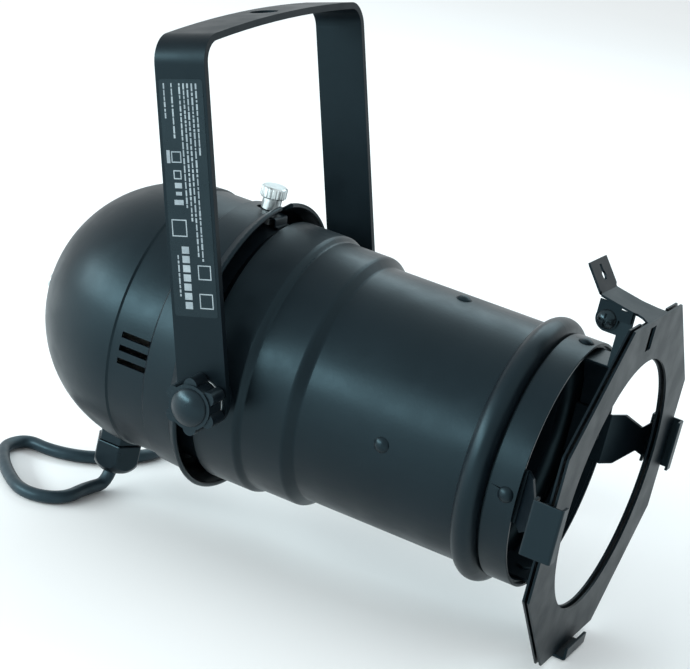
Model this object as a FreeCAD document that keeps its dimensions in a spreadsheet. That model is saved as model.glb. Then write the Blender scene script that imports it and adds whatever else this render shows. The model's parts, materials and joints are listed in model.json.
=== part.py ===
import FreeCAD, Part
import math
import os
import re

import Sketcher
from FreeCAD import Placement, Rotation, Vector

# A small stage par can standing on its front clip and its lead.  Millimetres throughout.
# The lantern is drawn in its own frame first: x forwards along the beam, y to the far side,
# z upwards, with x = 0 just ahead of the rear cap's rim.  STAND then tips it onto the table.

SIZES = {
    # stance
    "tilt": 3.6, "stand_shift": -28.084, "yoke_lean": 16.0, "yoke_roll": 3.1,
    # front tube, its steps, its bead and the collar
    "tube_wall": 0.8, "rear_radius": 45.7, "neck_radius": 48.85, "middle_radius": 47.1,
    "barrel_radius": 44.0, "spigot_radius": 43.3, "tube_start": -16.0, "tube_end": 118.6,
    "neck_at": -2.4, "step_one_at": 17.2, "step_two_at": 35.3, "step_crest": 2.0, "step_foot": 1.2,
    "bead_at": 104.0, "bead_crest": 48.2, "bead_bend": 4.9,
    "collar_start": 109.6, "collar_end": 119.8, "collar_radius": 44.4, "collar_wall": 1.05,
    "ring_rivet_at": 70.0, "clip_rivet_at": 116.0, "rivet_hole": 1.65,
    # rear cap
    "cap_wall": 0.8, "dome_radius": 50.0, "dome_centre": -35.0, "vent_band_radius": 49.4,
    "step_at": -19.2, "cone_radius": 50.6, "crease_at": -7.6, "crease_radius": 51.3,
    "rim_at": -2.8, "rim_radius": 54.5, "rim_roll": 0.9, "slot_end": -15.1, "slot_width": 5.4,
    "lip_slot_width": 8.4, "vent_start": -31.2, "vent_length": 11.6, "vent_width": 2.2,
    "vent_pitch": 4.85, "gland_at": -50.0, "gland_hole": 6.3, "stud_spread": 12.0,
    # yoke
    "pivot_at": 9.0, "strip_width": 19.0, "strip_thick": 2.4, "leg_inside": 56.0,
    "yoke_height": 121.9, "yoke_bend": 7.0, "yoke_arch": 4.0, "hang_hole": 5.0,
    "pivot_hole": 3.08, "bolt_radius": 3.0,
    # clips, catch and gel frame
    "sheet": 1.0, "clip_width": 19.0, "clip_base": 40.35, "clip_back": 131.6,
    "clip_mouth": 140.5, "clip_reach": 62.3, "frame_flats": 121.6, "frame_opening": 45.2,
    "front_leaf_at": 137.2, "back_leaf_at": 135.4, "leaf": 0.8, "catch_at": 122.9,
    "catch_height": 56.8, "ear_side": -7.8,
    # lamp
    "socket_bore": 13.65, "lamp_thread": 13.3, "lamp_radius": 32.2,
    # lead
    "cord_radius": 2.5, "coil_x": -75.0, "coil_y": 106.0, "coil_middle": 29.9,
    "coil_wide": 13.4, "coil_tall": 10.2, "tie_thick": 0.7,
}

document = FreeCAD.newDocument("par_can")
sheet = document.addObject("Spreadsheet::Sheet", "Sizes")
for row, (alias, number) in enumerate(SIZES.items(), start=1):
    sheet.set(f"A{row}", alias)
    sheet.set(f"B{row}", str(number))
    sheet.setAlias(f"B{row}", alias)
document.recompute()

FUNCTIONS = {"sin", "cos", "tan", "sqrt"}
NODES = []


def expression(text):
    """Text with the sheet's name put before each alias."""
    return re.sub(r"[a-z_]+", lambda word: word[0] if word[0] in FUNCTIONS else "Sizes." + word[0], text)


def value(size):
    """The number that a size has: a plain number, or text worked out from the sheet."""
    if isinstance(size, (int, float)):
        return float(size)
    return float(sheet.evalExpression(expression(size)))


def bind(item, setting, size):
    """Set a property to a plain number, or tie it to the sheet."""
    if isinstance(size, (int, float)):
        setattr(item, setting, size)
    else:
        item.setExpression(setting, expression(size))


# Drawing ------------------------------------------------------------------------------------

def draw(sketch, path, closed=True):
    """Lines and arcs through the path's corners, each corner and radius tied to the sheet.

    A corner is (x, y), or (x, y, radius, turn) where an arc leads to it, turning left or right.
    """
    points = [Vector(value(corner[0]), value(corner[1]), 0) for corner in path]
    legs = []
    for number in range(0 if closed else 1, len(path)):
        start, end, corner = points[number - 1], points[number], path[number]
        if len(corner) == 2:
            edge = sketch.addGeometry(Part.LineSegment(start, end))
            legs.append((edge, 1, 2, corner))
            continue
        radius, side = value(corner[2]), 1 if corner[3] == "left" else -1
        chord = end - start
        rise = math.sqrt(max(radius ** 2 - chord.Length ** 2 / 4, 0))
        centre = (start + end) / 2 + Vector(-chord.y, chord.x, 0).normalize() * rise * side
        first, last = (start, end) if side == 1 else (end, start)
        angles = [math.atan2(point.y - centre.y, point.x - centre.x) for point in (first, last)]
        if angles[1] < angles[0]:
            angles[1] += 2 * math.pi
        circle = Part.Circle(centre, Vector(0, 0, 1), radius)
        edge = sketch.addGeometry(Part.ArcOfCircle(circle, *angles))
        legs.append((edge, 1, 2, corner) if side == 1 else (edge, 2, 1, corner))
        tie(sketch, "Radius", edge, None, corner[2])
    for number, (edge, start, end, corner) in enumerate(legs):
        if number or closed:
            before = legs[number - 1]
            sketch.addConstraint(Sketcher.Constraint("Coincident", before[0], before[2], edge, start))
        else:
            tie(sketch, "DistanceX", edge, start, path[0][0])
            tie(sketch, "DistanceY", edge, start, path[0][1])
        tie(sketch, "DistanceX", edge, end, corner[0])
        tie(sketch, "DistanceY", edge, end, corner[1])


def tie(sketch, kind, edge, end, size):
    """A dimension in a sketch, tied to the sheet where it is text."""
    if kind == "Radius":
        constraint = Sketcher.Constraint(kind, edge, value(size))
    else:
        constraint = Sketcher.Constraint(kind, -1, 1, edge, end, value(size))
    index = sketch.addConstraint(constraint)
    if isinstance(size, str):
        sketch.setExpression(f"Constraints[{index}]", expression(size))


def ring(sketch, x, y, radius):
    """A whole circle in a sketch."""
    circle = Part.Circle(Vector(value(x), value(y), 0), Vector(0, 0, 1), value(radius))
    edge = sketch.addGeometry(circle)
    tie(sketch, "DistanceX", edge, 3, x)
    tie(sketch, "DistanceY", edge, 3, y)
    tie(sketch, "Radius", edge, None, radius)


def new_sketch(body, plane):
    sketch = body.newObject("Sketcher::SketchObject", body.Name + "_sketch")
    origin = next(item for item in body.Origin.OriginFeatures if item.Role == plane + "_Plane")
    sketch.AttachmentSupport = (origin, [""])
    sketch.MapMode = "FlatFace"
    return sketch


def turned(name, path):
    """A body turned about its x axis from a closed outline of (x, radius) corners."""
    body = document.addObject("PartDesign::Body", name)
    sketch = new_sketch(body, "XZ")
    draw(sketch, path)
    turn = body.newObject("PartDesign::Revolution", name + "_turn")
    turn.Profile = sketch
    turn.ReferenceAxis = (sketch, ["H_Axis"])
    turn.Angle = 360
    return body


def tube_outline(start, end, outside, inside):
    return [(start, inside), (end, inside), (end, outside), (start, outside)]


def drilled(body, plane, shapes, toward=None):
    """Cut circles (x, y, radius) and outlines through a body, both ways or only one way."""
    sketch = new_sketch(body, plane)
    for shape in shapes:
        if isinstance(shape, tuple):
            ring(sketch, *shape)
        else:
            draw(sketch, shape)
    document.recompute()
    before = body.Shape.Volume
    cut = body.newObject("PartDesign::Pocket", body.Name + "_cut")
    cut.Profile = sketch
    cut.Type = "ThroughAll"
    cut.SideType = "One side" if toward else "Symmetric"
    cut.Reversed = toward == "positive"
    document.recompute()
    if not body.Shape.Volume < before - 0.1:
        raise RuntimeError(body.Name + " was not cut")


def solid(kind, name, place=(0, 0, 0), **sizes):
    """A Part primitive with its sizes and its place tied to the sheet."""
    item = document.addObject("Part::" + kind, name)
    for setting, size in sizes.items():
        bind(item, setting, size)
    item.Placement.Base = Vector(*[value(distance) for distance in place])
    for axis, distance in zip("xyz", place):
        if isinstance(distance, str):
            bind(item, "Placement.Base." + axis, distance)
    return item


def box(name, low, high):
    """A box between two corners."""
    spans = [f"({b}) - ({a})" for a, b in zip(low, high)]
    return solid("Box", name, low, Length=spans[0], Width=spans[1], Height=spans[2])


def rod(name, start, radius, length, axis="z"):
    """A round bar from a point, along one axis."""
    item = solid("Cylinder", name, start, Radius=radius, Height=length)
    item.Placement.Rotation = ALONG[axis]
    return item


def prism(name, sides, across_flats, start, length, axis="z"):
    """A regular prism from a point, along one axis."""
    item = solid("Prism", name, start, Polygon=sides, Height=length)
    bind(item, "Circumradius", f"({across_flats}) / 2 / cos(180 / {sides})")
    item.Placement.Rotation = ALONG[axis]
    return item


ALONG = {
    "x": Rotation(Vector(0, 1, 0), 90),
    "y": Rotation(Vector(1, 0, 0), -90),
    "z": Rotation(),
}


def joined(name, items):
    item = document.addObject("Part::MultiFuse", name)
    item.Shapes = items
    return item


def without(name, base, tools):
    """The base with every tool cut out of it."""
    item = document.addObject("Part::Cut", name)
    item.Base = base
    item.Tool = tools[0] if len(tools) == 1 else joined(name + "_tools", tools)
    return item


def bent_sheet(name, path, width, thickness):
    """A strip of sheet bent along an open path in its xy plane, thickened to the path's left."""
    sketch = document.addObject("Sketcher::SketchObject", name + "_path")
    draw(sketch, path, closed=False)
    flat = document.addObject("Part::Offset2D", name + "_flat")
    flat.Source = sketch
    flat.Mode = 0
    flat.Fill = True
    bind(flat, "Value", f"-({thickness})")
    strip = document.addObject("Part::Extrusion", name)
    strip.Base = flat
    strip.DirMode = "Custom"
    strip.Dir = Vector(0, 0, 1)
    strip.Symmetric = True
    strip.Solid = True
    bind(strip, "LengthFwd", width)
    return strip


def group(name, items):
    """Separate solids kept together in one node."""
    item = document.addObject("Part::Compound", name)
    item.Links = items
    return item


# Placing ------------------------------------------------------------------------------------

# The lowest line of the lantern is the outside of the bottom clip's front bend.
AXIS_HEIGHT = value("clip_mouth * sin(tilt) + clip_reach * cos(tilt) + sheet")
STAND = Placement(Vector(value("stand_shift"), 0, AXIS_HEIGHT), Rotation(Vector(0, 1, 0), value("tilt")))
# Pieces drawn along x, turned to point another way.
POINTS_UP = Rotation(Vector(0, 1, 0), -90)
POINTS_DOWN = Rotation(Vector(0, 1, 0), 90)
POINTS_NEAR = Rotation(Vector(0, 0, 1), -90)
POINTS_FAR = Rotation(Vector(0, 0, 1), 90)
# Sheets drawn in x and y, with y stood up as z.
STOOD_UP = Rotation(Vector(1, 0, 0), 90)


def node(item, name, place=Placement()):
    """Name a finished piece and set it on the standing lantern."""
    item.Label = name
    item.Placement = STAND.multiply(place).multiply(item.Placement)
    NODES.append(item)


def at(x, y, z, rotation=Rotation()):
    return Placement(Vector(value(x), value(y), value(z)), rotation)


def about_axis(angle):
    """Turned about the lantern's own axis, from the top towards the near side."""
    return Placement(Vector(), Rotation(Vector(1, 0, 0), angle))


# The yoke's bolts stand a little round from the level of the clips, the near one lower.
ROLLED = about_axis(value("yoke_roll"))
PIVOT = ROLLED.multiply(at("pivot_at", 0, 0, Rotation(Vector(0, 1, 0), -value("yoke_lean"))))


# Front tube ---------------------------------------------------------------------------------

def bead_edge(level, side, wall):
    """Where the bead's round back meets a level stretch of tube."""
    radius = f"(bead_bend - {wall})"
    drop = f"({level} - {wall} - (bead_crest - bead_bend))"
    return f"bead_at {side} sqrt({radius}^2 - {drop}^2)"


def step_down(step, high, low, wall):
    """A shoulder at 45 degrees between two levels, rounded at its crest and its foot."""
    start, crest, foot = f"({step} - 0.4142 * {wall})", f"(step_crest - {wall})", f"(step_foot + {wall})"
    return [
        (f"{start} - 0.4142 * {crest}", f"{high} - {wall}"),
        (f"{start} + 0.2929 * {crest}", f"{high} - {wall} - 0.2929 * {crest}", crest, "right"),
        (f"{start} + {high} - {low} - 0.2929 * {foot}", f"{low} - {wall} + 0.2929 * {foot}"),
        (f"{start} + {high} - {low} + 0.4142 * {foot}", f"{low} - {wall}", foot, "left")]


def tube_line(wall):
    """The tube's outside, or its inside with the wall's thickness taken off."""
    line = [("tube_start", f"rear_radius - {wall}"), (f"neck_at + 0.4142 * {wall}", f"rear_radius - {wall}"),
            (f"neck_at + neck_radius - rear_radius + 0.4142 * {wall}", f"neck_radius - {wall}")]
    line += step_down("step_one_at", "neck_radius", "middle_radius", wall)
    line += step_down("step_two_at", "middle_radius", "barrel_radius", wall)
    line.append((bead_edge("barrel_radius", "-", wall), f"barrel_radius - {wall}"))
    line.append((bead_edge("spigot_radius", "+", wall), f"spigot_radius - {wall}", f"bead_bend - {wall}", "right"))
    line.append(("tube_end", f"spigot_radius - {wall}"))
    return line


def backwards(line):
    """The same corners in the other order, with each arc moved to its other end."""
    arcs = [corner[2:] for corner in line]
    result = [line[-1][:2]]
    for number in range(len(line) - 2, -1, -1):
        arc = arcs[number + 1]
        turn = (arc[0], "left" if arc[1] == "right" else "right") if arc else ()
        result.append(line[number][:2] + turn)
    return result


front_tube = turned("tube_turned", tube_line("0") + backwards(tube_line("tube_wall")))
drilled(front_tube, "XZ", [("ring_rivet_at", 0, "rivet_hole"), ("clip_rivet_at", 0, "rivet_hole")])
drilled(front_tube, "XY", [("ring_rivet_at", 0, "rivet_hole"), ("clip_rivet_at", 0, "rivet_hole")])
bolt_way = rod("yoke_bolt_way", ("pivot_at", -60, 0), "bolt_radius + 0.1", 120, "y")
bolt_way.Placement = ROLLED.multiply(bolt_way.Placement)
node(without("tube_with_bolt_ways", front_tube, [bolt_way]), "front_tube")

collar = turned("front_collar", tube_outline("collar_start", "collar_end", "collar_radius",
                                             "collar_radius - collar_wall + 0.02"))
drilled(collar, "XZ", [("clip_rivet_at", 0, "rivet_hole")])
drilled(collar, "XY", [("clip_rivet_at", 0, "rivet_hole")])
node(collar, "front_collar")

# A flanged ring inside the barrel stops the lamp's stray light.
glare_ring = turned("glare_ring", [
    (66, 36.0), (66.9, 36.0), (66.9, "barrel_radius - tube_wall - 1"), (75, "barrel_radius - tube_wall - 1"),
    (75, "barrel_radius - tube_wall - 0.05"), (66, "barrel_radius - tube_wall - 0.05")])
drilled(glare_ring, "XZ", [("ring_rivet_at", 0, "rivet_hole")])
drilled(glare_ring, "XY", [("ring_rivet_at", 0, "rivet_hole")])
node(glare_ring, "glare_ring")


def rivet(name, seat, tail):
    """A pop rivet along x: its head outside the seat radius, its tail inside."""
    return turned(name, [
        (tail - 0.9, 0), (f"{seat} + 1.4", 0), (f"{seat} + 0.05", 2.8, 3.6, "left"),
        (f"{seat} + 0.05", "rivet_hole - 0.05"), (tail, "rivet_hole - 0.05"), (tail, 2.4), (tail - 0.9, 2.4)])


def rivet_ring(name, station, seat, tail):
    """Four rivets a quarter turn apart, as one group."""
    rivets = []
    for quarter in range(4):
        item = rivet(f"{name}_{quarter}", seat, tail)
        item.Placement = about_axis(90 * quarter).multiply(at(station, 0, 0, POINTS_UP))
        rivets.append(item)
    node(group(name, rivets), name)


rivet_ring("ring_rivets", "ring_rivet_at", "barrel_radius", 42.1)
rivet_ring("clip_rivets", "clip_rivet_at", "collar_radius", 40.3)

# Yoke mounting: bolts through the tube's sides, with bushes that hold the legs off it.

SIDES = {"near": POINTS_NEAR, "far": POINTS_FAR}
for side, direction in SIDES.items():
    bush = turned(f"{side}_bush", tube_outline("neck_radius - 1", "leg_inside - 0.1", 6.0, "bolt_radius + 0.1"))
    bush.Placement = at("pivot_at", 0, 0, direction)
    seat = turned(f"{side}_bush_seat", [("tube_start", 0)] + tube_line("-0.05") + [("tube_end", 0)])
    node(without(f"{side}_seated_bush", bush, [seat]), f"{side}_yoke_bush", ROLLED)
    bolt = turned(f"{side}_bolt", [
        (45.8, 0), ("leg_inside + 11.9", 0), ("leg_inside + 11.9", "bolt_radius"), (47.5, "bolt_radius"), (47.5, 6.5),
        (46.6, 6.5), (45.8, 5.6)])
    node(bolt, f"{side}_yoke_bolt", ROLLED.multiply(at("pivot_at", 0, 0, direction)))

# Cap fixing: a bridge on top takes the thumb screw, and three more keep the cap central.


def bridge(name):
    """A hat-shaped strip along x that stands on the tube."""
    strip = bent_sheet(name, [
        (-15.9, "rear_radius + 0.05"), (-14.5, "rear_radius + 0.05"), (-13.9, 48.6), (-5.1, 48.6),
        (-4.5, "rear_radius + 0.05"), (-2.9, "rear_radius + 0.05")], 9, 0.9)
    strip.Placement = Placement(Vector(), STOOD_UP)
    return strip


THUMB_AT = -9.5
screw_bridge = without("screw_bridge", bridge("screw_bridge_strip"), [rod("screw_bridge_hole", (THUMB_AT, 0, 48), 2.1, 3)])
node(screw_bridge, "cap_screw_bridge")
nut = without("bridge_nut", prism("bridge_nut_block", 6, 7, (THUMB_AT, 0, 46.1), 2.4),
              [rod("bridge_nut_hole", (THUMB_AT, 0, 45), 2.1, 5)])
node(nut, "cap_screw_nut")
guides = []
for number, angle in enumerate((90, 180, 270)):
    guide = bridge(f"guide_{number}")
    guide.Placement = about_axis(angle).multiply(guide.Placement)
    guides.append(guide)
node(group("cap_guides", guides), "cap_guides")

# Thumb screw, drawn along x and stood on the cap's top slot: fluted head, neck and thread.
thumb_turned = turned("thumb_blank", [
    (46.4, 0), (59.6, 0), (59.6, 4.1), (59.0, 4.75), (55.9, 4.75), (55.4, 4.3), (55.3, 3.5),
    (51.35, 3.5), (51.35, 2.0), (46.8, 2.0), (46.4, 1.6)])
FLUTES = 18
flutes = []
for number in range(FLUTES):
    angle = 360 / FLUTES * number
    flute = rod(f"thumb_flute_{number}", (55, 4.9 * math.cos(math.radians(angle)), 4.9 * math.sin(math.radians(angle))), 0.4, 6, "x")
    flutes.append(flute)
thumb = without("thumb_screw", thumb_turned, flutes)
node(thumb, "cap_thumb_screw", at(THUMB_AT, 0, 0, POINTS_UP))

# Clips that hold the gel frame --------------------------------------------------------------

CLIP_PATH = [(107, "clip_base"), (121.2, "clip_base"), ("clip_back", 56.5), ("clip_back", "clip_reach"),
             ("clip_mouth", "clip_reach"), ("clip_mouth", 58.6)]
for name, angle in (("near_clip", 90), ("bottom_clip", 180), ("far_clip", 270)):
    strip = bent_sheet(name + "_strip", CLIP_PATH, "clip_width", "sheet")
    strip.Placement = Placement(Vector(), STOOD_UP)
    waist = []
    for side in (-1, 1):
        notch = box(f"{name}_notch_{side}", (-3.8, -3.8, 0), (3.8, 3.8, 18.6))
        notch.Placement = at(129.4, side * 9.9, 40, Rotation(Vector(0, 0, 1), 45)).multiply(notch.Placement)
        waist.append(notch)
    hole = rod(name + "_hole", ("clip_rivet_at", 0, 40), "rivet_hole", 4)
    node(without(name, strip, waist + [hole]), name, about_axis(angle))

# Catch: a tongue out of the collar's top with one side turned up.  The upright's flag reaches
# back, slotted to take the gel frame's screw from above.
catch_strip = bent_sheet("catch_strip", [
    (9, "clip_base + sheet"), ("ear_side + 1.3", "clip_base + sheet"), ("ear_side + 1.3", 61)], 24.6, "sheet")
catch_strip.Placement = at(119.3, 0, 0, Rotation(Vector(0, 1, 0), 90).multiply(Rotation(Vector(0, 0, 1), 90)))
catch_trimmed = without("catch_trimmed", catch_strip, [
    box("catch_back", (100, -9, 52.3), ("catch_at", -5, 62)),
    box("catch_heel", (100, -9, "clip_base + sheet + 0.1"), (127, -5, 52.3)),
    box("catch_nose", (128.6, -6.2, 40), (133, 12, 43))])
catch_round = rod("catch_round", ("catch_at", -7.5, 56.65), 4.35, 1, "y")
catch = without("catch", joined("catch_whole", [catch_trimmed, catch_round]), [
    box("catch_slot", ("catch_at - 2.35", -9, "catch_height"), ("catch_at + 2.35", -5, 62)),
    rod("catch_slot_end", ("catch_at", -9, "catch_height"), 2.35, 4, "y"),
    rod("catch_rivet_hole", ("clip_rivet_at", 0, 40), "rivet_hole", 4)])
node(catch, "catch_bracket")

# Gel frame ----------------------------------------------------------------------------------


def leaf(name, opening):
    """An octagonal plate with flats at the top and the sides, and a round opening."""
    plate = prism(name + "_plate", 8, "frame_flats", (0, 0, 0), "leaf", "x")
    plate.Placement.Rotation = ALONG["x"].multiply(Rotation(Vector(0, 0, 1), 22.5))
    return without(name, plate, [rod(name + "_hole", (-1, 0, 0), opening, 3, "x")])


handle_sheet = bent_sheet("handle_sheet", [(138, "frame_flats / 2 - 0.9"), (118.5, 63.6), (111.6, 72.6)], 40, "-leaf")
handle_sheet.Placement = Placement(Vector(), STOOD_UP)
handle_plan = document.addObject("PartDesign::Body", "handle_plan")
plan_sketch = new_sketch(handle_plan, "XY")
draw(plan_sketch, [
    (138, -11), (138, 11), (134, 8.8), (129, 7.2), (121, 7.2), (118.6, 7.4), (118.2, 8.4), (112.2, 8.4),
    (110.6, 7.4), (110.6, -7.4), (112.2, -8.4), (118.2, -8.4), (118.6, -7.4), (119.0, "ear_side - leaf"),
    (131.0, "ear_side - leaf"), (132.6, -7.6), (134.5, -8.0)])
plan_pad = handle_plan.newObject("PartDesign::Pad", "handle_plan_pad")
plan_pad.Profile = plan_sketch
plan_pad.Length = 90
handle = document.addObject("Part::Common", "handle")
handle.Base = handle_sheet
handle.Tool = handle_plan
TAB_MIDDLE = at(114.6, 0, 68.9, Rotation(Vector(0, 1, 0), -37.5))
keyhole = box("keyhole", (-3, -0.95, -2.6), (3, 0.95, 2.9))
keyhole.Placement = TAB_MIDDLE.multiply(keyhole.Placement)
key_eye = rod("key_eye", (-3, 0, -0.9), 1.6, 6, "x")
key_eye.Placement = TAB_MIDDLE.multiply(key_eye.Placement)
front_leaf = leaf("front_leaf", "frame_opening")
front_leaf.Placement.Base = Vector(value("front_leaf_at"), 0, 0)
ear = joined("frame_ear", [
    box("ear_plate", ("catch_at - 3.9", "ear_side - leaf", "catch_height"), ("catch_at + 3.9", "ear_side", 62.9)),
    box("ear_root", ("catch_at + 3.8", "ear_side - leaf", 57.6), (131, "ear_side", 61.4)),
    rod("ear_end", ("catch_at", "ear_side - leaf", "catch_height"), 3.9, "leaf", "y")])
frame_front = without("frame_front", joined("frame_front_whole", [front_leaf, handle, ear]), [
    keyhole, key_eye, rod("ear_hole", ("catch_at", -12, "catch_height"), 2.1, 8, "y"),
    box("ear_window", (136.8, -7.6, 50.2), (139, -1.8, 58.6))])
node(frame_front, "gel_frame_front")

back_leaf = leaf("back_leaf", "frame_opening - 0.7")
back_leaf.Placement.Base = Vector(value("back_leaf_at"), 0, 0)
fold = box("bottom_fold", ("back_leaf_at", -20, "0 - frame_flats / 2"), ("front_leaf_at", 20, "leaf - frame_flats / 2"))
handle_way = box("handle_way", (134, -14, "frame_flats / 2 - 0.9"), (137.2, 14, 62))
back_window = box("back_window", (134, -7.6, 50.2), (136.8, -1.8, 58.6))
node(joined("frame_back", [without("back_leaf_notched", back_leaf, [handle_way, back_window]), fold]), "gel_frame_back")

# The frame's screw and its nut clamp the ear to the catch.
screw_blank = turned("frame_screw_blank", [
    (3.2, 0), (11.0, 0), (8.7, 3.4, 3.9, "left"), (8.7, 2.0), (3.2, 2.0)])
cross = [box("screw_cross_a", (9.3, -2.2, -0.45), (12, 2.2, 0.45)), box("screw_cross_b", (9.3, -0.45, -2.2), (12, 0.45, 2.2))]
node(without("frame_screw", screw_blank, cross), "gel_frame_screw", at("catch_at", 0, "catch_height", POINTS_NEAR))
frame_nut = without("frame_nut", prism("frame_nut_block", 6, 7, (3.3, 0, 0), 2.8, "x"),
                    [rod("frame_nut_hole", (2, 0, 0), 2.05, 6, "x")])
node(frame_nut, "gel_frame_nut", at("catch_at", 0, "catch_height", POINTS_NEAR))

# Yoke ---------------------------------------------------------------------------------------

HALF_CHORD = "(leg_inside - yoke_bend + yoke_bend * sin(yoke_arch))"
ARCH_RADIUS = f"({HALF_CHORD} / sin(yoke_arch))"
BEND_END = f"(yoke_height - {ARCH_RADIUS} * (1 - cos(yoke_arch)))"
BEND_START = f"({BEND_END} - yoke_bend * cos(yoke_arch))"
yoke_strip = bent_sheet("yoke_strip", [
    ("0 - leg_inside", 0), ("0 - leg_inside", BEND_START), (f"0 - {HALF_CHORD}", BEND_END, "yoke_bend", "right"),
    (HALF_CHORD, BEND_END, ARCH_RADIUS, "right"), ("leg_inside", BEND_START, "yoke_bend", "right"),
    ("leg_inside", 0)], "strip_width", "strip_thick")
yoke_strip.Placement = Placement(Vector(), Rotation(Vector(0, 0, 1), 90).multiply(STOOD_UP))
ends = [rod("near_leg_end", (0, "0 - leg_inside - strip_thick", 0), "strip_width / 2", "strip_thick", "y"),
        rod("far_leg_end", (0, "leg_inside", 0), "strip_width / 2", "strip_thick", "y")]
yoke = without("yoke_drilled", joined("yoke_whole", [yoke_strip] + ends), [
    rod("yoke_pivot_hole", (0, -70, 0), "pivot_hole", 140, "y"),
    rod("yoke_hang_hole", (0, 0, "yoke_height - 5"), "hang_hole", 12)])
node(yoke, "yoke", PIVOT)

washers = []
for side, direction in SIDES.items():
    washer = turned(f"{side}_washer", tube_outline("leg_inside + strip_thick + 0.02", "leg_inside + strip_thick + 1", 8.0,
                                                   "pivot_hole"))
    washer.Placement = at(0, 0, 0, direction)
    washers.append(washer)
node(group("knob_washers", washers), "knob_washers", PIVOT)

# Six-lobed clamp knobs, drawn along x with their backs at x = 0.
KNOB_BACK = value("leg_inside + strip_thick + 1.1")
for side, direction in SIDES.items():
    lobes = [rod(f"{side}_knob_core", (0, 0, 0), 7.9, 8.0, "x")]
    for number in range(6):
        angle = math.radians(60 * number + 40)
        lobes.append(rod(f"{side}_lobe_{number}", (0, 7.6 * math.cos(angle), 7.6 * math.sin(angle)), 2.5, 7.4, "x"))
    knob = without(f"{side}_knob", joined(f"{side}_knob_lobes", lobes), [
        rod(f"{side}_knob_bore", (-1, 0, 0), "bolt_radius + 0.1", 10.4, "x"),
        rod(f"{side}_knob_seat", (6.6, 0, 0), 6.2, 3, "x")])
    knob.Placement = Placement(Vector(KNOB_BACK, 0, 0), Rotation())
    node(knob, f"{side}_knob", ROLLED.multiply(at("pivot_at", 0, 0, direction)))
    button = turned(f"{side}_knob_button", [
        (9.1, 0), (11.2, 0), (8.7, 6.4, 9.6, "left"), (8.05, 6.7), (8.05, 6.1), (6.7, 6.1), (6.7, 5.2), (9.1, 5.2)])
    button.Placement = Placement(Vector(KNOB_BACK, 0, 0), Rotation())
    node(button, f"{side}_knob_button", ROLLED.multiply(at("pivot_at", 0, 0, direction)))


# Rear cap -----------------------------------------------------------------------------------

rear_cap = turned("rear_cap", [
    ("dome_centre - dome_radius", 0), ("dome_centre", "dome_radius", "dome_radius", "right"),
    ("dome_centre + 0.7", "vent_band_radius"), ("step_at - 0.6", "vent_band_radius"),
    ("step_at + 0.5", "cone_radius"), ("crease_at", "crease_radius"),
    ("rim_at - 1.5", "rim_radius - 0.23"), ("rim_at", "rim_radius - rim_roll", "rim_roll", "right"),
    ("rim_at - rim_roll", "rim_radius - 2 * rim_roll", "rim_roll", "right"),
    ("crease_at + 0.3", "crease_radius - cap_wall"), ("step_at + 0.5", "cone_radius - cap_wall"),
    ("step_at - 0.6", "vent_band_radius - cap_wall"), ("dome_centre + 0.7", "vent_band_radius - cap_wall"),
    ("dome_centre", "dome_radius - cap_wall"),
    ("dome_centre - dome_radius + cap_wall", 0, "dome_radius - cap_wall", "left")])
slot_side = "slot_width / 2"
lip_side = "lip_slot_width / 2"
drilled(rear_cap, "XY", [[
    (2, f"0 - {lip_side}"), (2, lip_side), ("crease_at - 0.5", lip_side), ("crease_at - 0.5", slot_side),
    (f"slot_end + {slot_side}", slot_side), (f"slot_end + {slot_side}", f"0 - {slot_side}", f"{slot_side} + 0.05", "left"),
    ("crease_at - 0.5", f"0 - {slot_side}"), ("crease_at - 0.5", f"0 - {lip_side}")]], "positive")
drilled(rear_cap, "XY", [("gland_at", 0, "gland_hole")], "negative")
drilled(rear_cap, "YZ", [("stud_spread", 0, 1.7), ("0 - stud_spread", 0, 1.7)], "negative")
vents = []
for number in (-1, 0, 1):
    low, high = [f"{number} * vent_pitch {sign} vent_width / 2" for sign in "-+"]
    vents.append([("vent_start", low), ("vent_start + vent_length", low),
                  ("vent_start + vent_length", high), ("vent_start", high)])
drilled(rear_cap, "XZ", vents)
node(rear_cap, "rear_cap")

# Lamp holder on its bracket, held to the dome by two long screws.
bracket = without("bracket_drilled", joined("bracket_whole", [
    rod("bracket_disc", (-66, 0, 0), 17, 1.5, "x"), box("bracket_tab", (-66, -10, -36), (-64.5, 10, 0))]), [
    rod("bracket_hole_near", (-70, "0 - stud_spread", 0), 1.7, 10, "x"),
    rod("bracket_hole_far", (-70, "stud_spread", 0), 1.7, 10, "x")])
node(bracket, "holder_bracket")
studs = []
for side in ("-", ""):
    across = value(side + "stud_spread")
    screw = turned(f"stud{side}_screw", [
        (-85.7, 0), (-61.9, 0), (-61.9, 1.6), (-84.25, 1.6), (-84.25, 3.0), (-84.9, 3.0), (-85.7, 1.9)])
    spacer = turned(f"stud{side}_spacer", tube_outline(-81.8, -66.05, 3.0, 1.65))
    screw_nut = without(f"stud{side}_nut", prism(f"stud{side}_nut_block", 6, 5.5, (-64.45, 0, 0), 2.2, "x"),
                        [rod(f"stud{side}_nut_hole", (-66, 0, 0), 1.65, 5, "x")])
    for item in (screw, spacer, screw_nut):
        item.Placement = at(0, across, 0).multiply(item.Placement)
        studs.append(item)
node(group("holder_screws", studs), "holder_screws")
holder = turned("holder", [
    (-64.45, 0), (-64.45, 8.2), (-61.5, 8.2), (-61.5, 17.8), (-59.8, 19), (-27.4, 19), (-24, 17.6), (-24, 14.1),
    (-56.5, 14.1), (-56.5, 0)])
node(holder, "lamp_holder")
shell = turned("holder_shell", tube_outline(-54, -27, 14.05, "socket_bore"))
node(shell, "holder_thread_shell")
spring = turned("holder_spring", [(-56.45, 0), (-52.9, 0), (-52.9, 3), (-54.5, 6), (-56.45, 6)])
node(spring, "holder_contact")
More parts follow.
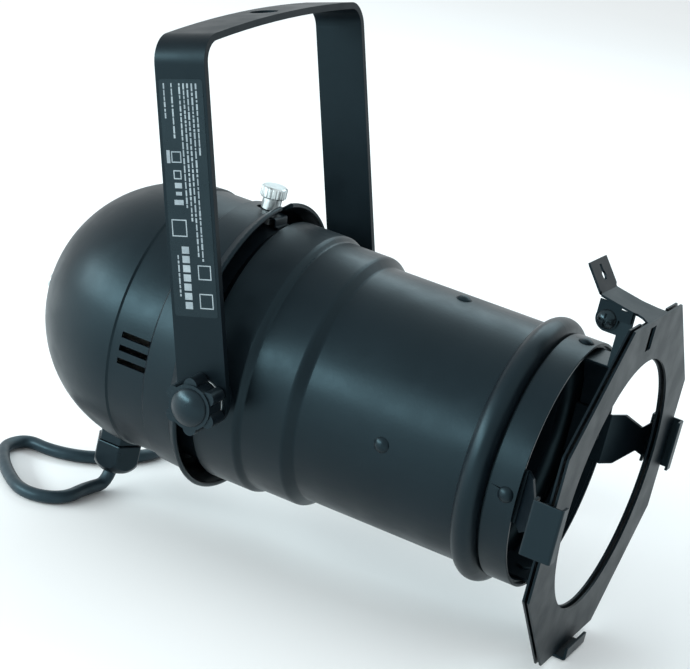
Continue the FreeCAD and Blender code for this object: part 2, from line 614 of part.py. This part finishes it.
terminals = without("terminals", box("terminal_bar", (-64.4, -12, -34.4), (-46.4, 12, -21)), [
    rod(f"terminal_way_{number}", (-60, 7.5 * number, -28), 2.3, 20, "x") for number in (-1, 0, 1)] + [
    rod(f"terminal_well_{number}", (-52, 7.5 * number, -25), 1.9, 8) for number in (-1, 0, 1)])
node(terminals, "terminal_block")

# Reflector lamp with a screw base.
base = turned("lamp_base", [
    (-50.8, 0), (-50.8, 4.3), (-47.6, 12.2), (-46.6, "lamp_thread"), (-24.5, "lamp_thread"),
    (-24.5, "lamp_thread - 0.5"), (-46, "lamp_thread - 0.6"), (-46, 0)])
node(base, "lamp_base")
node(turned("lamp_tip", [(-52.6, 0), (-50.85, 0), (-50.85, 3.8), (-52, 3.8), (-52.6, 2.8)]), "lamp_contact")
reflector = turned("lamp_reflector", [
    (-40, "lamp_thread - 0.7"), (-24.4, "lamp_thread - 0.7"), (-22.6, 15.2), (-12, 16.6), (-4, 20.0),
    (25, "lamp_radius", 44, "right"), (31.6, "lamp_radius"), (31.6, "lamp_radius - 1.4"), (25.6, "lamp_radius - 1.6"),
    (-3.4, 18.5, 42.4, "left"), (-12.4, 15.0), (-22, 13.4), (-25.5, 11.4), (-40, "lamp_thread - 2.3")])
node(reflector, "lamp_reflector")
lens = turned("lamp_lens", [(31.65, 0), (36.2, 0), (33.2, "lamp_radius - 0.4", 172, "left"), (31.65, "lamp_radius")])
node(lens, "lamp_lens")

# Cable gland, drawn along x and pointed down: lock nut and seal inside, body, cap and grip outside.
GLAND = at("gland_at", 0, 0, POINTS_DOWN)
lock_nut = without("gland_lock_nut", prism("lock_nut_block", 6, 15, (38.8, 0, 0), 3.4, "x"),
                   [rod("lock_nut_hole", (38, 0, 0), 6.05, 5, "x")])
node(lock_nut, "gland_lock_nut", GLAND)
skin = [solid("Sphere", f"dome_{name}", (0, 0, 0), Radius=radius) for name, radius in
        (("inside", "dome_radius - cap_wall - 0.05"), ("outside", "dome_radius + 0.05"))]
for ball in skin:
    ball.Placement.Base = Vector(0, 0, value("dome_centre - gland_at"))
inner_blank = turned("inner_seal_blank", tube_outline(42.25, 48, 8.0, 6.05))
inner_seal = document.addObject("Part::Common", "inner_seal")
inner_seal.Base = inner_blank
inner_seal.Tool = skin[0]
node(inner_seal, "gland_inner_seal", GLAND)
outer_blank = turned("outer_seal_blank", tube_outline(44, 50.45, 8.2, 6.05))
node(without("outer_seal", outer_blank, [skin[1]]), "gland_outer_seal", GLAND)
gland_body = without("gland_body", joined("gland_body_whole", [
    rod("gland_spigot", (38.8, 0, 0), 6.0, 22, "x"), prism("gland_hex", 6, 15, (50.5, 0, 0), 3.9, "x")]), [
    rod("gland_bore", (38, 0, 0), "cord_radius + 0.1", 25, "x")])
node(gland_body, "gland_body", GLAND)
cap_turned = turned("gland_cap_blank", [
    (54.5, 6.05), (54.5, 9.3), (61.6, 9.3), (66.5, 6.2, 7.5, "right"), (66.5, 5.0), (63.6, 5.0), (61, 6.05)])
cap_hex = prism("gland_cap_hex", 6, 16.4, (54, 0, 0), 13, "x")
gland_cap = document.addObject("Part::Common", "gland_cap")
gland_cap.Base = cap_turned
gland_cap.Tool = cap_hex
node(gland_cap, "gland_cap", GLAND)
grip = turned("gland_grip", [
    (60.85, "cord_radius + 0.05"), (60.85, 5.95), (63.5, 4.9), (66.2, 4.9), (66.2, "cord_radius + 0.05")])
node(grip, "gland_grip", GLAND)
tail = rod("lead_tail_rod", (37.5, 0, 0), "cord_radius", 12.5, "x")
node(tail, "cord_tail", GLAND)

# Lead ---------------------------------------------------------------------------------------

# The route on the table: out of the gland, round in a loose loop and behind the lantern.
FLOOR = value("cord_radius")
DROP = (AXIS_HEIGHT - value("gland_at * sin(tilt) + cord_radius")) / value("cos(tilt)")
EXIT = [STAND.multVec(Vector(value("gland_at"), 0, -depth)) for depth in (50, DROP)]
ROUTE = [tuple(point) for point in EXIT] + [
    (-85.6, -13.6, FLOOR), (-85.3, -26.8, FLOOR), (-92, -33.5, FLOOR), (-101.6, -33.8, FLOOR),
    (-112.6, -25, FLOOR), (-123.4, -13.8, FLOOR), (-131.8, -1, FLOOR), (-128.8, 11, FLOOR),
    (-117, 8.6, FLOOR), (-104.4, 12.6, FLOOR), (-93.6, 24, FLOOR), (-86.4, 39, FLOOR),
    (-89.4, 56, FLOOR), (-97.8, 72, FLOOR), (-106, 87, FLOOR + 0.4), (-109, 102, FLOOR + 0.7)]
ENDING = [(-58.2, 137.7, 8.3), (-49.4, 136.2, 10.4), (-41.48, 134.79, 11.8), (-33.6, 133.4, 11.8)]


def lead_wire(name, route):
    """Straight runs joined by tangent arcs, each as large as its two runs allow."""
    points = [Vector(*point) for point in route]
    edges, reached, radii = [], points[0], []
    for before, corner, after in zip(points, points[1:], points[2:]):
        back, on = before - corner, after - corner
        run = 0.45 * min(back.Length, on.Length)
        turn = math.pi - back.getAngle(on)
        radii.append(run / math.tan(turn / 2))
        back, on = back.normalize(), on.normalize()
        start, end = corner + back * run, corner + on * run
        inward = (back + on).normalize()
        middle = corner + inward * (radii[-1] / math.cos(turn / 2) - radii[-1])
        edges += [Part.LineSegment(reached, start).toShape(), Part.Arc(start, middle, end).toShape()]
        reached = end
    edges.append(Part.LineSegment(reached, points[-1]).toShape())
    print(name, "radii", [round(radius, 1) for radius in radii])
    return Part.Wire(edges)


def lead_tube(name, route):
    wire = lead_wire(name, route)
    start, on = Vector(*route[0]), Vector(*route[1]) - Vector(*route[0])
    section = Part.Wire(Part.makeCircle(value("cord_radius"), start, on))
    tube = document.addObject("Part::Feature", name)
    tube.Shape = wire.makePipeShell([section], True, True)
    expected = math.pi * value("cord_radius") ** 2 * wire.Length
    print(name, "length", round(wire.Length, 1), "volume over section times length", tube.Shape.Volume / expected)
    tube.Label = name
    NODES.append(tube)


lead_tube("cord_route", ROUTE)
lead_tube("cord_end", ENDING)


def lie(item, name, x, y, z, turn):
    """Name a piece that lies on the table, turned about the vertical."""
    item.Label = name
    item.Placement = at(x, y, z, Rotation(Vector(0, 0, 1), turn)).multiply(item.Placement)
    NODES.append(item)


coil = without("coil", rod("coil_disc", (0, 0, 0), "coil_middle + coil_wide / 2", "coil_tall"),
               [rod("coil_eye", (0, 0, -1), "coil_middle - coil_wide / 2", 20)])
lie(coil, "cord_coil", "coil_x", "coil_y", "tie_thick", 0)
inner_side, outer_side = "coil_middle - coil_wide / 2 - 0.5", "coil_middle + coil_wide / 2 + 0.1"
tie_band = without("tie_band", box("tie_outside", (f"{inner_side} - tie_thick", -4, 0),
                                   (f"{outer_side} + tie_thick", 4, "coil_tall + 2 * tie_thick")),
                   [box("tie_inside", (inner_side, -5, "tie_thick"), (outer_side, 5, "coil_tall + tie_thick"))])
lie(tie_band, "cord_tie", "coil_x", "coil_y", 0, -100)

# Plug, drawn along x from the small end of its strain relief.
relief = turned("plug_relief_cone", [(0, 0), (22, 0), (22, 6.4), (0, 3.8)])
moulding = document.addObject("Part::Fillet", "plug_moulding")
moulding.Base = box("plug_block", (22, -13, -11.8), (52, 13, 11.8))
document.recompute()
moulding.Edges = [(number, 4.0, 4.0) for number in range(1, 13)]
PLUG_AT = (-33.6, 133.4, 11.8, -10)
lie(relief, "plug_strain_relief", *PLUG_AT)
lie(moulding, "plug_body", *PLUG_AT)
pins = group("plug_pin_set", [
    box("plug_blade_near", (52.05, -7.1, 0.4), (69.5, -5.6, 6.8)), box("plug_blade_far", (52.05, 5.6, 0.4), (69.5, 7.1, 6.8)),
    rod("plug_earth", (52.05, 0, -6), 2.4, 20.5, "x")])
lie(pins, "plug_pins", *PLUG_AT)

# Checks and files ---------------------------------------------------------------------------

document.recompute()
for item in document.Objects:
    if {"Invalid", "Error"} & set(item.State):
        raise RuntimeError(item.Name + " did not compute")
for item in NODES:
    if item.Shape.isNull() or not item.Shape.isValid():
        raise RuntimeError(item.Label + " has no valid shape")

os.makedirs("parts", exist_ok=True)
for item in NODES:
    item.Shape.exportStep(f"parts/{item.Label}.step")
    print(item.Label, "solids", len(item.Shape.Solids), "volume", round(item.Shape.Volume, 1))
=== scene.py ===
import json
import math
import random

import bmesh
import bpy
from mathutils import Matrix, Quaternion, Vector


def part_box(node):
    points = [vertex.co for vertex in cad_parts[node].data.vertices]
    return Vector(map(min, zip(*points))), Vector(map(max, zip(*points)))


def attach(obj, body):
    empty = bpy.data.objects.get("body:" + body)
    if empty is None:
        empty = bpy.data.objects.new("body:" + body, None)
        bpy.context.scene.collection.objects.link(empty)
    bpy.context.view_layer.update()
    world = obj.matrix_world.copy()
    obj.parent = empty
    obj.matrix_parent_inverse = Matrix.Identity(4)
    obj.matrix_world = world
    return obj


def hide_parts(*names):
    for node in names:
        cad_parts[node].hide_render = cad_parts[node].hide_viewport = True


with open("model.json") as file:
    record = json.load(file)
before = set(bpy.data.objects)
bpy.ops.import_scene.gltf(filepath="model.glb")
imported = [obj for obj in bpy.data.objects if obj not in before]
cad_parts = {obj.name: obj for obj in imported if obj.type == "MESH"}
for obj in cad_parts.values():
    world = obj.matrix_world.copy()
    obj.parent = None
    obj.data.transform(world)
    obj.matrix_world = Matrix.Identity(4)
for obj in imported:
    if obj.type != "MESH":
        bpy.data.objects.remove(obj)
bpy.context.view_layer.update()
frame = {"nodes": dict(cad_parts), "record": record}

MM = 0.001
CORD_RADIUS = 2.5 * MM

# The main view: where the camera stands, its direction and roll in degrees, and its lens in mm.
CAMERA_AT = Vector((0.28561, -0.65111, 0.29726))
CAMERA_AZIMUTH, CAMERA_ELEVATION, CAMERA_ROLL = 23.48, 16.53, 9.98
CAMERA_LENS = 108.7

# The record's joints, and the point that the yoke turns about.
RECORD = frame["record"]
JOINTS = {joint["name"]: joint for joint in RECORD["behaviour"]["joints"]}
PIVOT = Vector(JOINTS["yoke_tilt"]["pos_m"])


def make_camera():
    """The camera of the main view."""
    data = bpy.data.cameras.new("camera")
    data.lens = CAMERA_LENS
    data.clip_end = 20
    camera = bpy.data.objects.new("camera", data)
    bpy.context.collection.objects.link(camera)
    azimuth, elevation = math.radians(CAMERA_AZIMUTH), math.radians(CAMERA_ELEVATION)
    back = Vector((math.sin(azimuth) * math.cos(elevation), -math.cos(azimuth) * math.cos(elevation),
                   math.sin(elevation)))
    level = (-back).to_track_quat("-Z", "Y")
    turn = level @ Quaternion((0, 0, 1), math.radians(CAMERA_ROLL))
    camera.matrix_world = Matrix.Translation(CAMERA_AT) @ turn.to_matrix().to_4x4()
    bpy.context.scene.camera = camera


make_camera()


# Materials ----------------------------------------------------------------------------------

class Material:
    """A node material, with short calls for the nodes that these finishes need."""

    def __init__(self, name, colour, roughness, metallic=0.0, **settings):
        self.data = bpy.data.materials.new(name)
        self.data.use_nodes = True
        self.nodes = self.data.node_tree.nodes
        self.links = self.data.node_tree.links
        self.shader = self.nodes["Principled BSDF"]
        self.place = self.nodes.new("ShaderNodeTexCoord").outputs["Object"]
        self.shader.inputs["Base Color"].default_value = (*colour, 1)
        self.shader.inputs["Roughness"].default_value = roughness
        self.shader.inputs["Metallic"].default_value = metallic
        for setting, value in settings.items():
            self.shader.inputs[setting].default_value = value

    def noise(self, size, detail=3.0, stretch=None):
        """Noise whose features are about that size in metres, scaled along each axis by stretch, if given."""
        place = self.place
        if stretch:
            mapping = self.nodes.new("ShaderNodeMapping")
            mapping.inputs["Scale"].default_value = stretch
            self.links.new(place, mapping.inputs["Vector"])
            place = mapping.outputs["Vector"]
        noise = self.nodes.new("ShaderNodeTexNoise")
        noise.inputs["Scale"].default_value = 1 / size
        noise.inputs["Detail"].default_value = detail
        self.links.new(place, noise.inputs["Vector"])
        return noise.outputs["Fac"]

    def between(self, factor, low, high, lowest=0.35, highest=0.65):
        """A value or colour that moves between two as the factor rises."""
        ramp = self.nodes.new("ShaderNodeMapRange")
        ramp.inputs["From Min"].default_value = lowest
        ramp.inputs["From Max"].default_value = highest
        self.links.new(factor, ramp.inputs["Value"])
        if not isinstance(low, tuple):
            ramp.inputs["To Min"].default_value = low
            ramp.inputs["To Max"].default_value = high
            return ramp.outputs["Result"]
        mix = self.nodes.new("ShaderNodeMix")
        mix.data_type = "RGBA"
        mix.inputs["A"].default_value = (*low, 1)
        mix.inputs["B"].default_value = (*high, 1)
        self.links.new(ramp.outputs["Result"], mix.inputs["Factor"])
        return mix.outputs["Result"]

    def colour(self, socket):
        self.links.new(socket, self.shader.inputs["Base Color"])

    def roughness(self, socket):
        self.links.new(socket, self.shader.inputs["Roughness"])

    def bump(self, height, depth, strength=1.0):
        """Raise the surface by the height's value times depth, on top of any bump already there."""
        bump = self.nodes.new("ShaderNodeBump")
        bump.inputs["Strength"].default_value = strength
        bump.inputs["Distance"].default_value = depth
        self.links.new(height, bump.inputs["Height"])
        if self.shader.inputs["Normal"].links:
            self.links.new(self.shader.inputs["Normal"].links[0].from_socket, bump.inputs["Normal"])
        self.links.new(bump.outputs["Normal"], self.shader.inputs["Normal"])


# The cold cast of light glancing off the black finishes.
SHEEN = (0.53, 0.86, 1.0, 1)


def paint(name, dark, light, roughness, gloss):
    """Satin powder coat: fine orange peel, faint clouding and a few duller patches."""
    made = Material(name, dark, roughness, **{"Specular IOR Level": gloss, "Specular Tint": SHEEN})
    made.colour(made.between(made.noise(0.03), dark, light))
    made.roughness(made.between(made.noise(0.012, 4), roughness - 0.04, roughness + 0.05))
    made.bump(made.noise(0.0011, 2), 0.000035, 0.5)
    made.bump(made.noise(0.012, 1), 0.0002, 0.12)
    return made.data


def moulded(name, dark, light, roughness, grain=0.0005):
    """Moulded plastic or rubber with a fine eroded grain."""
    made = Material(name, dark, roughness, **{"Specular IOR Level": 0.35, "Specular Tint": SHEEN})
    made.colour(made.between(made.noise(0.006), dark, light))
    made.roughness(made.between(made.noise(0.004), roughness - 0.06, roughness + 0.06))
    made.bump(made.noise(grain, 2), 0.00003, 0.6)
    return made.data


def plated(name, colour, stain, roughness, along=(1, 1, 1)):
    """Plated or plain metal with faint drawn lines and handling marks."""
    made = Material(name, colour, roughness, 1.0)
    made.colour(made.between(made.noise(0.005, 5), colour, stain, 0.45, 0.75))
    made.roughness(made.between(made.noise(0.002, 3, along), roughness - 0.08, roughness + 0.1))
    made.bump(made.noise(0.0006, 2, along), 0.00002, 0.5)
    return made.data


def glazed(name, colour, fleck, roughness):
    """Glazed ceramic with a slightly uneven surface."""
    made = Material(name, colour, roughness, **{"Coat Weight": 0.6, "Coat Roughness": 0.08})
    made.colour(made.between(made.noise(0.004, 5), colour, fleck, 0.5, 0.8))
    made.bump(made.noise(0.004, 1), 0.0001, 0.2)
    return made.data


def lamp_glass():
    """Clear pressed glass with a light stipple on its face."""
    made = Material("lamp_glass", (0.93, 0.96, 0.97), 0.08, **{"Transmission Weight": 1.0, "IOR": 1.5})
    made.bump(made.noise(0.0018, 1), 0.0004, 0.6)
    return made.data


# Each finish by its darker or main colour, its lighter or stained colour, and its roughness.
BLACK = paint("satin_black_paint", (0.0022, 0.0040, 0.0060), (0.0032, 0.0055, 0.0080), 0.37, 0.32)
FRAME_BLACK = paint("frame_black_paint", (0.0018, 0.0034, 0.0052), (0.0027, 0.0048, 0.0070), 0.42, 0.20)
SCREW_BLACK = paint("blackened_steel", (0.005, 0.007, 0.009), (0.009, 0.012, 0.014), 0.28, 0.4)
PLASTIC = moulded("black_nylon", (0.0036, 0.0056, 0.0080), (0.0050, 0.0074, 0.0100), 0.33)
RUBBER = moulded("black_rubber", (0.006, 0.007, 0.008), (0.009, 0.010, 0.011), 0.60)
SHEATH = moulded("lead_sheath", (0.014, 0.023, 0.030), (0.019, 0.031, 0.039), 0.42, 0.0009)
FILM = moulded("label_film", (0.0022, 0.0034, 0.0048), (0.0030, 0.0046, 0.0064), 0.30, 0.0004)
INK = moulded("label_ink", (0.19, 0.22, 0.24), (0.27, 0.31, 0.33), 0.45)
ZINC = plated("bright_zinc", (0.66, 0.72, 0.73), (0.50, 0.56, 0.57), 0.36, (1, 1, 6))
LAMP_METAL = plated("lamp_cap_metal", (0.78, 0.79, 0.80), (0.66, 0.67, 0.68), 0.3)
BRASS = plated("plain_brass", (0.72, 0.52, 0.24), (0.56, 0.38, 0.17), 0.28)
MIRROR = plated("lamp_mirror", (0.90, 0.91, 0.92), (0.86, 0.87, 0.89), 0.12)
PORCELAIN = glazed("porcelain", (0.78, 0.76, 0.70), (0.68, 0.66, 0.60), 0.25)
GLASS = lamp_glass()
SLOTS = {
    "black_paint": BLACK, "black_screw": SCREW_BLACK, "zinc": ZINC, "black_plastic": PLASTIC,
    "rubber": RUBBER, "porcelain": PORCELAIN, "brass": BRASS, "lamp_metal": LAMP_METAL,
    "lamp_mirror": MIRROR, "lamp_glass": GLASS, "lead_sheath": SHEATH, "plug_metal": BRASS,
}
# Flat strip and sheet, which take a duller coat than the spun parts.
FRAME_PAINTED = ("gel_frame_front", "gel_frame_back", "yoke")


# CAD nodes: finish and softened edges --------------------------------------------------------

# How wide a softened edge is, in mm.  A width of 0 leaves the node's edges as they are.
USUAL_EDGE = 0.2
EDGE_WIDTH = {
    "near_knob": 0.7, "far_knob": 0.7, "yoke": 0.35, "gland_cap": 0.4, "gland_body": 0.3, "plug_pins": 0.3,
    "catch_bracket": 0.15, "cap_screw_bridge": 0.15, "cap_guides": 0.15, "gel_frame_front": 0.12,
    "gel_frame_back": 0.12, "cap_thumb_screw": 0.12, "gel_frame_screw": 0.1,
    "front_tube": 0, "rear_cap": 0, "lamp_reflector": 0, "lamp_lens": 0,
}
# Bent strip, whose flats are each joined into one face before their edges are softened.
FLAT_SHEETS = ("yoke",)
WELD_GAP = 0.01 * MM
FLAT_WITHIN, SHARP_FROM = math.radians(0.5), math.radians(40)


def paint_nodes():
    """Give each CAD node its finish, and soften the edges that a press, mould or file would leave."""
    for entry in RECORD["subparts"]:
        name = entry["node"]
        node = frame["nodes"][name]
        finish = FRAME_BLACK if name in FRAME_PAINTED else SLOTS[entry["material_slot"]]
        node.data.materials.clear()
        node.data.materials.append(finish)
        width = EDGE_WIDTH.get(name, USUAL_EDGE)
        if not width:
            continue
        weld = node.modifiers.new("weld", "WELD")
        weld.merge_threshold = WELD_GAP
        if name in FLAT_SHEETS:
            joined = node.modifiers.new("whole_faces", "DECIMATE")
            joined.decimate_type = "DISSOLVE"
            joined.angle_limit = FLAT_WITHIN
        bevel = node.modifiers.new("soft_edges", "BEVEL")
        bevel.width = width * MM
        bevel.segments = 2
        bevel.limit_method = "ANGLE"
        bevel.angle_limit = SHARP_FROM
        node.modifiers.new("flat_faces", "WEIGHTED_NORMAL").keep_sharp = True


paint_nodes()


# Lead ----------------------------------------------------------------------------------------

# The route's points from inside the gland to the coil, then from the coil into the plug's relief.
ROUTE = [
    (-0.0811, 0, 0.0252), (-0.08254, 0, 0.0025), (-0.0856, -0.0136, 0.0025),
    (-0.0853, -0.0268, 0.0025), (-0.092, -0.0335, 0.0025), (-0.1016, -0.0338, 0.0025),
    (-0.1126, -0.025, 0.0025), (-0.1234, -0.0138, 0.0025), (-0.1318, -0.001, 0.0025),
    (-0.1288, 0.011, 0.0025), (-0.117, 0.0086, 0.0025), (-0.1044, 0.0126, 0.0025),
    (-0.0936, 0.024, 0.0025), (-0.0864, 0.039, 0.0025), (-0.0894, 0.056, 0.0025),
    (-0.0978, 0.072, 0.0025), (-0.106, 0.087, 0.0029),
]
ENDING = [
    (-0.0582, 0.1377, 0.0083), (-0.0494, 0.1362, 0.0104), (-0.04148, 0.13479, 0.0118),
    (-0.0336, 0.1334, 0.0118),
]
# The coil's first angle and whole turn in degrees, its points, and how far apart its turns lie in radii.
COIL_FROM, COIL_TURN = 180, 1180
COIL_POINTS = 60
COIL_PITCH = 2.04
CLIMB_TURN = 60


def coil_points():
    """Two layers of turns: spiralling inwards along the table, then back outwards on top."""
    low, high = (Vector(corner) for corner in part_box("cord_coil"))
    centre = (low + high) / 2
    outermost = (high.x - low.x) / 2 - CORD_RADIUS
    pitch = COIL_PITCH * CORD_RADIUS
    points = []
    for number in range(COIL_POINTS + 1):
        share = number / COIL_POINTS
        angle = math.radians(COIL_FROM - COIL_TURN * share)
        layer_turns = COIL_TURN / 360 * min(share, 1 - share)
        radius = outermost - pitch * layer_turns
        climb = min(max((share - 0.5) * COIL_TURN / CLIMB_TURN + 0.5, 0), 1)
        height = low.z + CORD_RADIUS + pitch * climb
        across, along = radius * math.cos(angle), radius * math.sin(angle)
        points.append(Vector((centre.x + across, centre.y + along, height)))
    return points


def make_lead():
    """The whole lead as one smooth curve, from inside the gland to the plug."""
    points = [Vector(point) for point in ROUTE] + coil_points() + [Vector(point) for point in ENDING]
    data = bpy.data.curves.new("lead", "CURVE")
    data.dimensions = "3D"
    data.bevel_depth = CORD_RADIUS
    data.bevel_resolution = 5
    data.resolution_u = 8
    data.use_fill_caps = True
    spline = data.splines.new("NURBS")
    spline.points.add(len(points) - 1)
    for point, place in zip(spline.points, points):
        point.co = (*place, 1)
    spline.use_endpoint_u = True
    spline.order_u = 3
    lead = bpy.data.objects.new("lead", data)
    bpy.context.collection.objects.link(lead)
    data.materials.append(SHEATH)
    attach(lead, "rear_cap")
    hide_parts("cord_route", "cord_coil", "cord_end")
    return lead


lead = make_lead()


# Label -----------------------------------------------------------------------------------------

# The near leg's frame: along the yoke's pivot axis, up the leg and across it towards the front.
AXIS = Vector(JOINTS["yoke_tilt"]["axis"]).normalized()
HOLE = next(Vector(mount["pos_m"]) for mount in RECORD["mounts"] if mount["name"] == "hanging_hole")
LEG = (HOLE - PIVOT - AXIS * (HOLE - PIVOT).dot(AXIS)).normalized()
ACROSS = AXIS.cross(LEG)
LEG_FACE = 58.4 * MM
LABEL_TOP, LABEL_LENGTH, LABEL_HALF, LABEL_CORNER = 108.5 * MM, 79.5 * MM, 8.3 * MM, 1.0 * MM
FILM_THICK, INK_THICK = 0.08 * MM, 0.025 * MM

# Rows of dashes: how far across the leg, and where each starts and ends below the label's top, in mm.
PRINT_ROWS = [(5.7, 1.3, 25.6), (4.1, 1.3, 60.4), (2.5, 1.3, 58.9), (1.0, 1.3, 47.6), (-0.6, 1.3, 42.5),
              (-3.6, 1.3, 19.8), (-6.5, 1.3, 13.6), (-5.5, 58.6, 73.6)]
# Plain blocks, each from and to across the leg, then from and to down the label, in mm.
PRINT_BLOCKS = [(-7.2, -5.9, 23.4, 27.7), (-4.8, -2.1, 34.2, 36.0), (-4.6, -2.3, 37.2, 38.4),
                (-5.4, -1.9, 39.9, 41.6)]
PRINT_BLOCKS += [(-3.9, -1.1, 55.6 + step * 3.15, 58.0 + step * 3.15) for step in range(7)]
# Plain outlined squares, each by its centre across and down, and its half side, in mm.
PRINT_SQUARES = [(-3.5, 25.6, 1.9), (-3.5, 31.5, 1.5), (-4.2, 49.4, 2.9), (4.3, 64.2, 2.5), (4.3, 74.0, 2.6)]
SQUARE_LINE = 0.38
# A dash's shortest and longest length, half its height and the gap after it, all in mm.
DASH_LENGTH, DASH_HALF_HEIGHT, DASH_GAP, SHORTEST_END = (0.7, 2.6), (0.22, 0.34), (0.28, 0.55), 0.6
# How far the film and the ink are sunk into what is under them, so that no gap shows.
FILM_SUNK, INK_SUNK = 0.005 * MM, 0.002 * MM


def on_leg(across, down, out):
    """A place on the near leg's outer face, down from the label's top and out from the metal, in metres."""
    return PIVOT + LEG * (LABEL_TOP - down) + ACROSS * across - AXIS * (LEG_FACE + out)


def add_slab(mesh, outline, low, high):
    """A closed flat slab over an outline of (across, down) places in metres."""
    under = [mesh.verts.new(on_leg(across, down, low)) for across, down in outline]
    over = [mesh.verts.new(on_leg(across, down, high)) for across, down in outline]
    mesh.faces.new(under)
    mesh.faces.new(list(reversed(over)))
    for index in range(len(outline)):
        after = (index + 1) % len(outline)
        mesh.faces.new((under[after], under[index], over[index], over[after]))


def add_mark(mesh, left, right, top, bottom):
    """A rectangle of ink, by its sides in mm."""
    corners = [(left, top), (right, top), (right, bottom), (left, bottom)]
    outline = [(across * MM, down * MM) for across, down in corners]
    add_slab(mesh, outline, FILM_THICK - INK_SUNK, FILM_THICK + INK_THICK)


def label_piece(name, mesh, finish):
    """Make a piece of the mesh that rides on the yoke."""
    bmesh.ops.recalc_face_normals(mesh, faces=mesh.faces)
    data = bpy.data.meshes.new(name)
    mesh.to_mesh(data)
    mesh.free()
    data.materials.append(finish)
    piece = bpy.data.objects.new(name, data)
    bpy.context.collection.objects.link(piece)
    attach(piece, "yoke")


def make_label():
    """A black film on the near leg, with plain dashes, blocks and squares in place of print."""
    film = bmesh.new()
    outline = []
    corners = [(1, 0, 270), (1, 1, 0), (-1, 1, 90), (-1, 0, 180)]
    for side, end, start in corners:
        centre = (side * (LABEL_HALF - LABEL_CORNER), LABEL_CORNER + end * (LABEL_LENGTH - 2 * LABEL_CORNER))
        for step in range(7):
            angle = math.radians(start + 15 * step)
            outline.append((centre[0] + LABEL_CORNER * math.cos(angle),
                            centre[1] + LABEL_CORNER * math.sin(angle)))
    add_slab(film, outline, -FILM_SUNK, FILM_THICK)
    label_piece("label_film", film, FILM)

    ink = bmesh.new()
    draw = random.Random(5)
    for across, start, end in PRINT_ROWS:
        place = start
        while place < end - SHORTEST_END:
            dash = min(draw.uniform(*DASH_LENGTH), end - place)
            height = draw.uniform(*DASH_HALF_HEIGHT)
            add_mark(ink, across - height, across + height, place, place + dash)
            place += dash + draw.uniform(*DASH_GAP)
    for left, right, top, bottom in PRINT_BLOCKS:
        add_mark(ink, left, right, top, bottom)
    for across, down, half in PRINT_SQUARES:
        left, right, top, bottom = across - half, across + half, down - half, down + half
        add_mark(ink, left, right, top, top + SQUARE_LINE)
        add_mark(ink, left, right, bottom - SQUARE_LINE, bottom)
        add_mark(ink, left, left + SQUARE_LINE, top + SQUARE_LINE, bottom - SQUARE_LINE)
        add_mark(ink, right - SQUARE_LINE, right, top + SQUARE_LINE, bottom - SQUARE_LINE)
    label_piece("label_marks", ink, INK)


make_label()


# Stage ---------------------------------------------------------------------------------------

# The floor lies a hair below the lantern's lowest point, so that the two don't share a plane.
FLOOR_HALF, FLOOR_DROP = 6.0, 0.2 * MM
SURROUND_COLOUR, SURROUND_STRENGTH = (0.94, 0.985, 1, 1), 0.9
LIGHTS_AIM_AT = Vector((0, 0, 0.08))


def make_stage():
    """A pale floor and an almost white surround."""
    mesh = bpy.data.meshes.new("floor")
    half = FLOOR_HALF
    corners = [(-half, -half, 0), (half, -half, 0), (half, half, 0), (-half, half, 0)]
    mesh.from_pydata(corners, [], [(0, 1, 2, 3)])
    floor = bpy.data.objects.new("floor", mesh)
    floor.location.z = -FLOOR_DROP
    bpy.context.collection.objects.link(floor)
    made = Material("pale_floor", (0.90, 0.90, 0.90), 0.9)
    made.colour(made.between(made.noise(0.5), (0.90, 0.90, 0.90), (0.92, 0.92, 0.92)))
    mesh.materials.append(made.data)

    world = bpy.data.worlds.new("surround")
    world.use_nodes = True
    world.node_tree.nodes["Background"].inputs["Color"].default_value = SURROUND_COLOUR
    world.node_tree.nodes["Background"].inputs["Strength"].default_value = SURROUND_STRENGTH
    bpy.context.scene.world = world


def add_light(name, azimuth, elevation, distance, size, radiance, colour):
    """A soft rectangular light facing the lantern, placed by its direction as the cameras are."""
    data = bpy.data.lights.new(name, "AREA")
    data.shape = "RECTANGLE"
    data.size, data.size_y = size
    data.energy = radiance * math.pi * size[0] * size[1]
    data.color = colour
    light = bpy.data.objects.new(name, data)
    azimuth, elevation = math.radians(azimuth), math.radians(elevation)
    outward = Vector((math.sin(azimuth) * math.cos(elevation), -math.cos(azimuth) * math.cos(elevation),
                      math.sin(elevation)))
    light.location = LIGHTS_AIM_AT + outward * distance
    light.rotation_euler = outward.to_track_quat("Z", "Y").to_euler()
    bpy.context.collection.objects.link(light)


make_stage()
add_light("strip_light", -45, 17, 1.4, (1.6, 0.26), 18.0, (0.86, 0.98, 1.0))
add_light("back_light", 180, 42, 1.4, (1.4, 0.5), 3.2, (0.74, 0.94, 1.0))
bpy.context.scene.view_settings.view_transform = "Standard"
